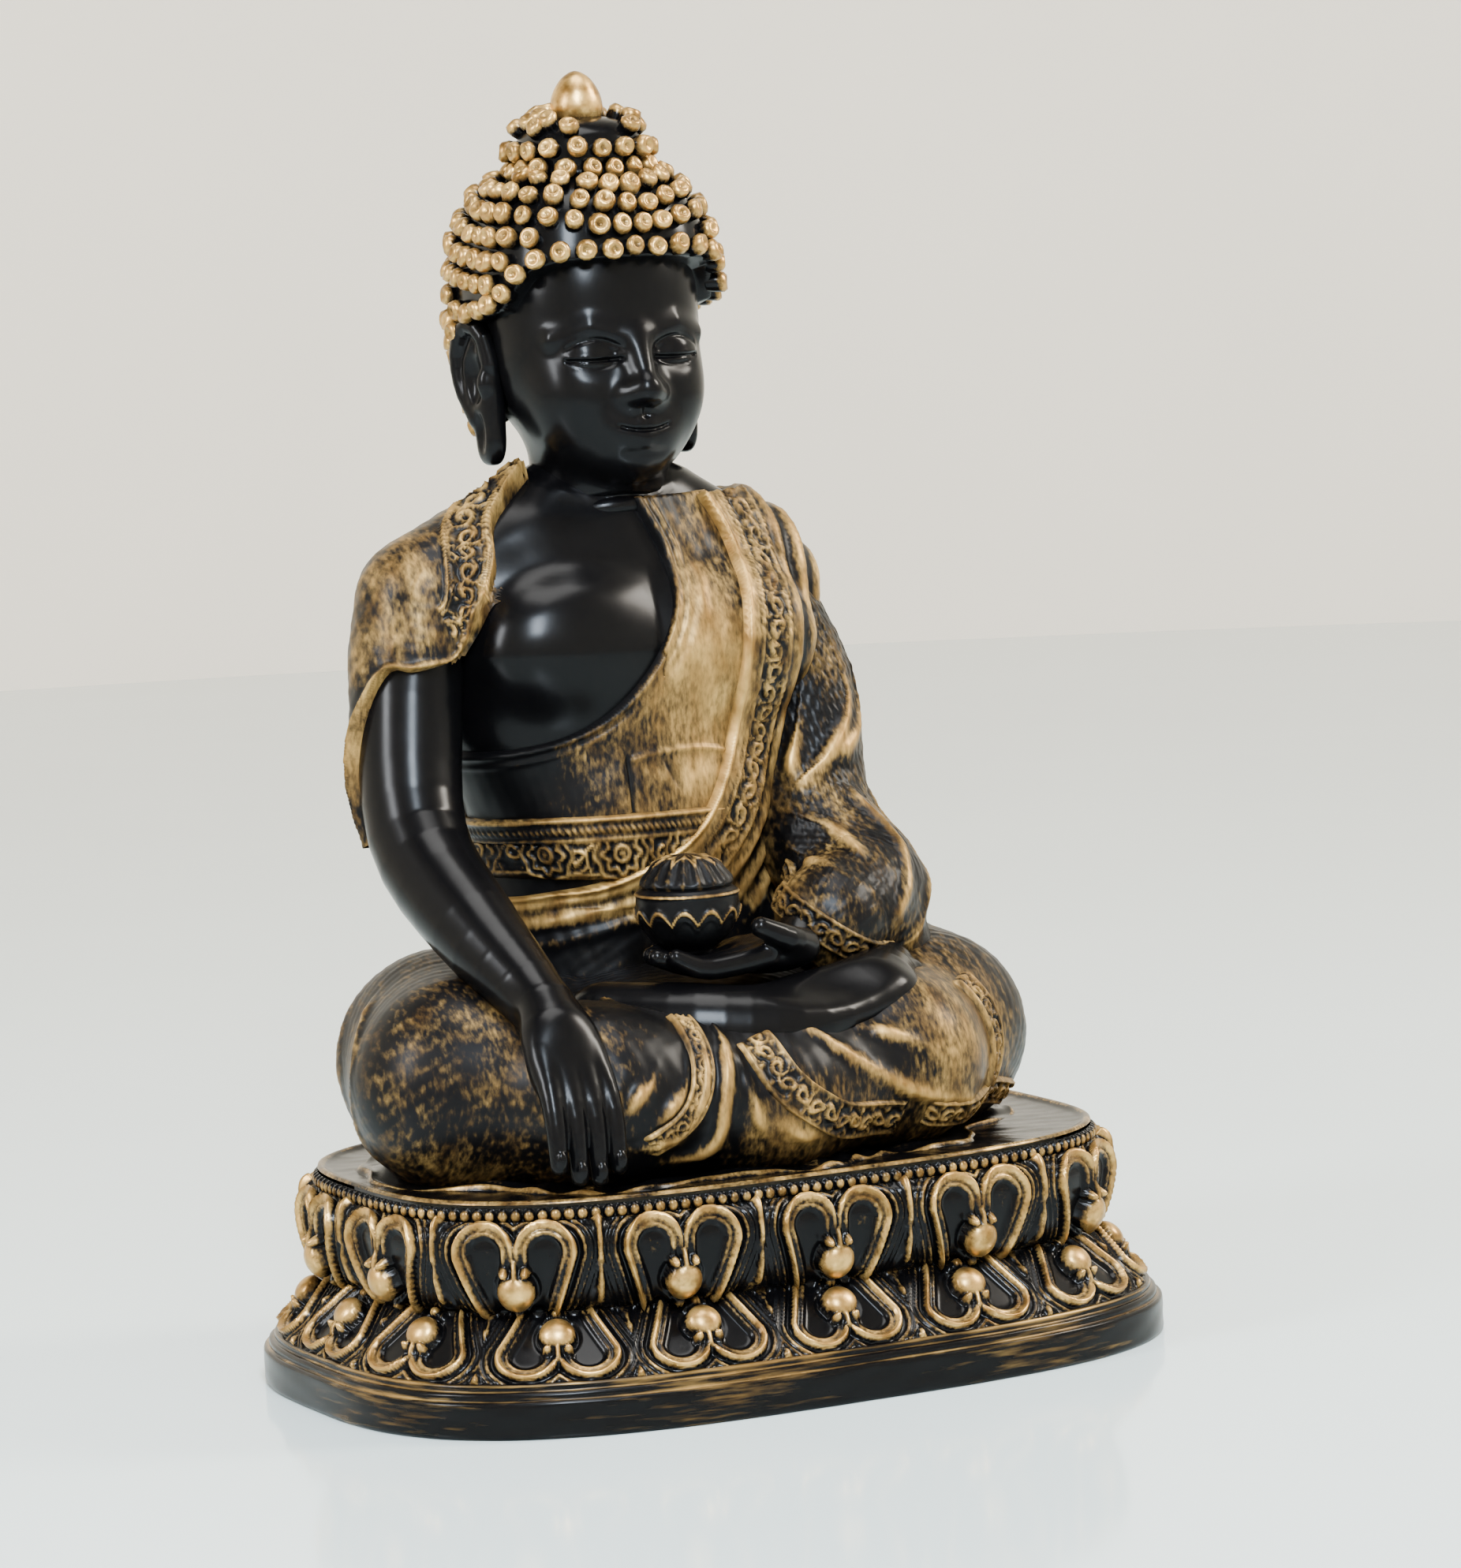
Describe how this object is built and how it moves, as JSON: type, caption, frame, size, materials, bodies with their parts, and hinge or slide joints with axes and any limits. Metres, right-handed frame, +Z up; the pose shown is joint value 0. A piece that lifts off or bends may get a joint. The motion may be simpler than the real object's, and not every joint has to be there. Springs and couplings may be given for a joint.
{
  "type": "seated buddha statue",
  "caption": "Seated robed Buddha figure holding a bowl, one hand reaching down, on an oval double-lotus throne, in black enamel with brushed gold.",
  "frame": {"origin": "on the resting plane, under the middle of the oval throne", "axes": "+Z up through the crown, -Y is the way the figure faces, -X is the figure's right side"},
  "size_m": [0.172, 0.1245, 0.2505],
  "materials": {
    "black_enamel": "glossy black enamel over cast resin",
    "brushed_gold": "gold dry-brushed over black enamel",
    "throne_gold": "aged gold rubbed over black on the raised petals",
    "hair_gold": "bright gold on the curls, black between them",
    "felt": "pressed felt",
    "cover_board": "matte",
    "filling": "cast stone powder and resin",
    "steel": "zinc plated",
    "beech": "plain turned dowel"
  },
  "bodies": {
    "root": {"felt_pad": "felt", "bottom_cover": "cover_board", "cover_screws": "steel", "plinth": "throne_gold", "lower_lotus": "throne_gold", "upper_lotus": "throne_gold", "bead_rim": "throne_gold", "base_filling": "filling", "seat_plate": "throne_gold", "seat_screws": "steel", "lap": "brushed_gold", "seat_cloth": "brushed_gold", "torso_dowels": "beech", "torso": "black_enamel", "inner_robe": "brushed_gold", "waist_sash": "brushed_gold", "outer_robe": "brushed_gold", "shoulder_wrap": "brushed_gold", "right_arm": "black_enamel", "right_hand": "black_enamel", "left_sleeve": "brushed_gold", "left_cuff": "brushed_gold", "left_hand": "black_enamel", "right_foot": "black_enamel", "alms_bowl": "black_enamel", "bowl_offering": "brushed_gold", "neck_dowel": "beech", "head": "black_enamel", "hair_cap": "hair_gold", "right_ear": "black_enamel", "left_ear": "black_enamel", "topknot": "hair_gold", "finial": "hair_gold"}
  },
  "joints": []
}
